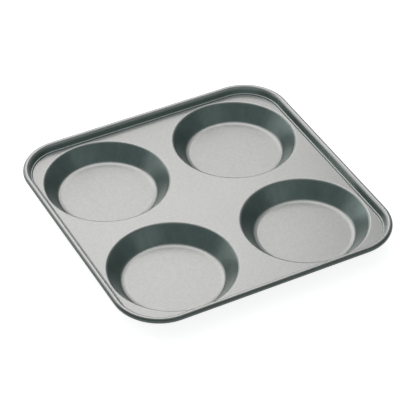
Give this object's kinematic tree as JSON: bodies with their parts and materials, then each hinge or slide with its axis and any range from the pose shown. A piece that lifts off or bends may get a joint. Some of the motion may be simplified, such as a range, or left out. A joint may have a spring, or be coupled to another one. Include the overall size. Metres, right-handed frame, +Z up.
{
  "type": "yorkshire pudding pan",
  "caption": "Square shallow baking pan with round flat-floored wells pressed into one deck, a stepped rim and a wired rolled edge, for baking batter puddings.",
  "frame": {"origin": "centre of the footprint, on the plane that the four well floors stand on", "axes": "+Z up out of the wells, +X and +Y along the straight sides"},
  "size_m": [0.24, 0.24, 0.0217],
  "materials": {
    "pressed_steel": "satin",
    "wire_steel": "satin",
    "nonstick_film": "satin"
  },
  "bodies": {
    "root": {"pan_pressing": "pressed_steel", "rim_wire": "wire_steel", "nonstick_coat": "nonstick_film"}
  },
  "joints": []
}
